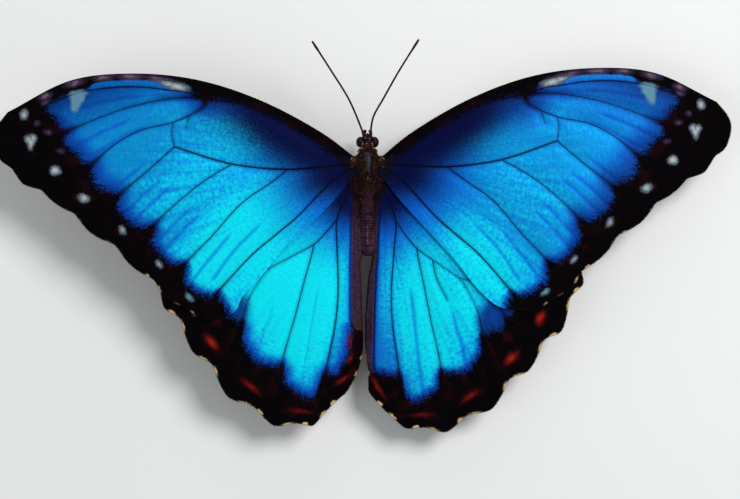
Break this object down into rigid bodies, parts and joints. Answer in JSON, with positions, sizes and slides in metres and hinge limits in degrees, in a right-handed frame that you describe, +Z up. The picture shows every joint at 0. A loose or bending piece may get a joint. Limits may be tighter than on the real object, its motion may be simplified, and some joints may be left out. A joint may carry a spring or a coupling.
{
  "type": "blue morpho butterfly",
  "caption": "Life-size still model of a blue morpho butterfly standing on its legs with the wings spread flat, scalloped black edges and slender antennae.",
  "frame": {"origin": "on the floor under the middle of the whole butterfly's box", "axes": "+Y towards the head, +X to the butterfly's right wing, +Z up from the floor it stands on"},
  "size_m": [0.1255, 0.0668, 0.0149],
  "materials": {
    "wing_blue": "satin, iridescent blue with a black scaled border",
    "body_coat": "short soft hair, brown to mauve",
    "leg_coat": "fine scales over dark cuticle",
    "antenna_cuticle": "matt black, ringed",
    "eye": "glossy dark compound eye",
    "tongue": "smooth brown"
  },
  "bodies": {
    "root": {"head": "body_coat", "eye_left": "eye", "eye_right": "eye", "antenna_left": "antenna_cuticle", "antenna_right": "antenna_cuticle", "palp_left": "body_coat", "palp_right": "body_coat", "proboscis": "tongue", "thorax": "body_coat", "abdomen": "body_coat", "forewing_left": "wing_blue", "forewing_right": "wing_blue", "hindwing_left": "wing_blue", "hindwing_right": "wing_blue", "foreleg_left": "leg_coat", "foreleg_right": "leg_coat", "midleg_left_femur": "leg_coat", "midleg_left_tibia": "leg_coat", "midleg_left_tarsus": "leg_coat", "midleg_right_femur": "leg_coat", "midleg_right_tibia": "leg_coat", "midleg_right_tarsus": "leg_coat", "hindleg_left_femur": "leg_coat", "hindleg_left_tibia": "leg_coat", "hindleg_left_tarsus": "leg_coat", "hindleg_right_femur": "leg_coat", "hindleg_right_tibia": "leg_coat", "hindleg_right_tarsus": "leg_coat"}
  },
  "joints": []
}
